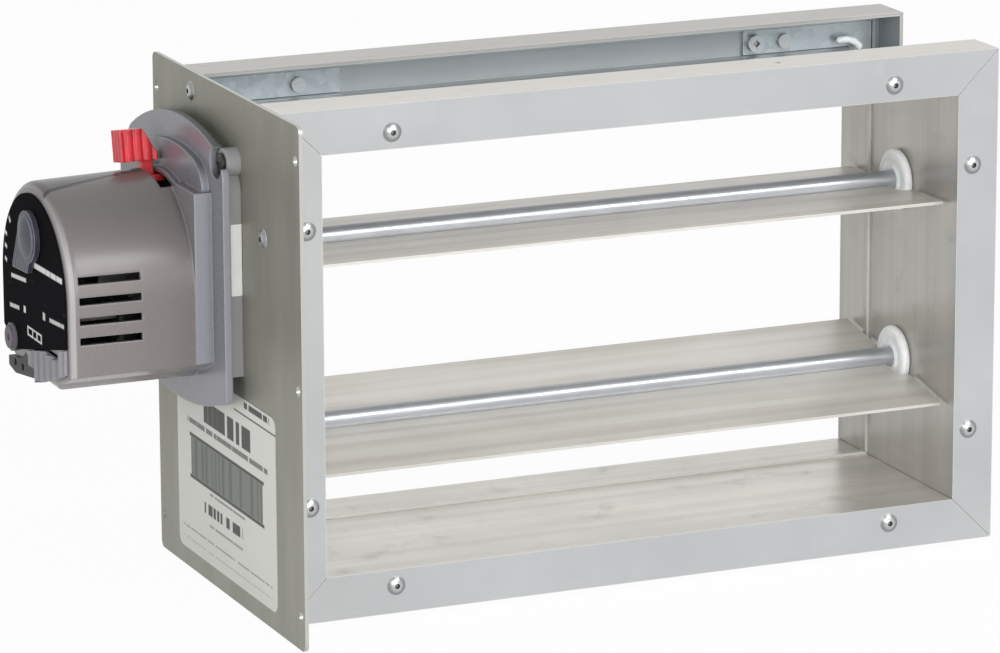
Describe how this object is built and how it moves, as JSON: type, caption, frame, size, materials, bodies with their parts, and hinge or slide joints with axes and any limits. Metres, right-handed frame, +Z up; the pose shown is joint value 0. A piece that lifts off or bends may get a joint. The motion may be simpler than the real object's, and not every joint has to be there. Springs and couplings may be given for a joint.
{
  "type": "rectangular zone damper",
  "caption": "Aluminium channel frame with opposed blades on shafts in nylon bushings, a side plate for screwing to a duct, and a motor actuator with a position pointer and a release lever.",
  "frame": {"origin": "Centre of the four corner screw holes, on the inner face of the side plate, which is the face that meets the duct wall.", "axes": "+X goes across the duct from the side plate to the far side of the frame, +Y goes along the air from the front face of the frame to its back face, and +Z is up."},
  "size_m": [0.3768, 0.1675, 0.203],
  "materials": {
    "frame_aluminium": "mill finish aluminium with fine draw lines",
    "blade_aluminium": "mill finish aluminium sheet",
    "galvanised_steel": "zinc coated steel strip",
    "rivet_steel": "plain steel",
    "shaft_steel": "bright zinc plated steel rod",
    "white_nylon": "natural white nylon",
    "gear_nylon": "natural white nylon",
    "plate_finish": "dull olive grey plate with bright cut edges",
    "label_white": "white label film",
    "base_grey": "light grey moulded plastic",
    "housing_grey": "satin warm grey moulded plastic",
    "black_screw": "black oxide screws",
    "panel_black": "black label film",
    "pointer_grey": "blue grey moulded plastic",
    "motor_steel": "plated steel can",
    "pinion_brass": "plain brass",
    "board_green": "green board with black parts",
    "terminal_green": "green terminal strip",
    "terminal_cover_grey": "light grey moulded plastic",
    "grommet_rubber": "purple grey rubber",
    "lever_red": "translucent looking red plastic",
    "clamp_black": "black moulded plastic"
  },
  "bodies": {
    "casing": {"frame_top": "frame_aluminium", "frame_bottom": "frame_aluminium", "frame_left": "frame_aluminium", "frame_right": "frame_aluminium", "gusset_front_top_left": "galvanised_steel", "gusset_front_top_right": "galvanised_steel", "gusset_front_bottom_left": "galvanised_steel", "gusset_front_bottom_right": "galvanised_steel", "gusset_back_top_left": "galvanised_steel", "gusset_back_top_right": "galvanised_steel", "gusset_back_bottom_left": "galvanised_steel", "gusset_back_bottom_right": "galvanised_steel", "rivets_front": "rivet_steel", "rivets_back": "rivet_steel", "gusset_screw": "galvanised_steel", "side_plate": "plate_finish", "plate_rivets": "rivet_steel", "rating_label": "label_white", "bushing_upper_left": "white_nylon", "bushing_upper_right": "white_nylon", "bushing_lower_left": "white_nylon", "bushing_lower_right": "white_nylon", "mounting_base": "base_grey", "base_screws": "black_screw", "housing_cover": "housing_grey", "dial_label": "panel_black", "drive_motor": "motor_steel", "motor_screws": "motor_steel", "circuit_board": "board_green", "terminal_block": "terminal_green", "terminal_cover": "terminal_cover_grey", "wire_grommet": "grommet_rubber", "side_sticker": "label_white", "wire_clamp": "clamp_black"},
    "upper_blade": {"blade_upper": "blade_aluminium", "shaft_upper": "shaft_steel", "timing_gear_upper": "gear_nylon", "clip_upper": "rivet_steel", "output_gear": "gear_nylon"},
    "lower_blade": {"blade_lower": "blade_aluminium", "shaft_lower": "shaft_steel", "timing_gear_lower": "gear_nylon", "clips_lower": "rivet_steel"},
    "indicator": {"indicator_gear": "gear_nylon", "dial_pointer": "pointer_grey"},
    "pinion": {"motor_pinion": "pinion_brass"},
    "lever": {"release_lever": "lever_red"}
  },
  "joints": [
    {"name": "upper_blade_turn", "type": "hinge", "parent": "casing", "child": "upper_blade", "pos_m": [0.15, -0.0045, 0.0404], "axis": [1, 0, 0], "range_deg": [-88.6, 0]},
    {"name": "lower_blade_turn", "type": "hinge", "parent": "casing", "child": "lower_blade", "pos_m": [0.15, -0.0045, -0.0331], "axis": [1, 0, 0], "range_deg": [0, 78.6]},
    {"name": "indicator_turn", "type": "hinge", "parent": "casing", "child": "indicator", "pos_m": [-0.03, 0.03354, 0.0425], "axis": [1, 0, 0], "range_deg": [0, 88.6]},
    {"name": "pinion_turn", "type": "hinge", "parent": "casing", "child": "pinion", "pos_m": [-0.008, 0.03354, 0.01583], "axis": [1, 0, 0], "range_deg": [-221.5, 0]},
    {"name": "release_lever_turn", "type": "hinge", "parent": "casing", "child": "lever", "pos_m": [-0.02, 0.03354, 0.0228], "axis": [1, 0, 0], "range_deg": [0, 30]}
  ],
  "couplings": [
    {"joint": "lower_blade_turn", "follows": "upper_blade_turn", "ratio": -0.88679},
    {"joint": "indicator_turn", "follows": "upper_blade_turn", "ratio": -1},
    {"joint": "pinion_turn", "follows": "upper_blade_turn", "ratio": 2.5}
  ]
}
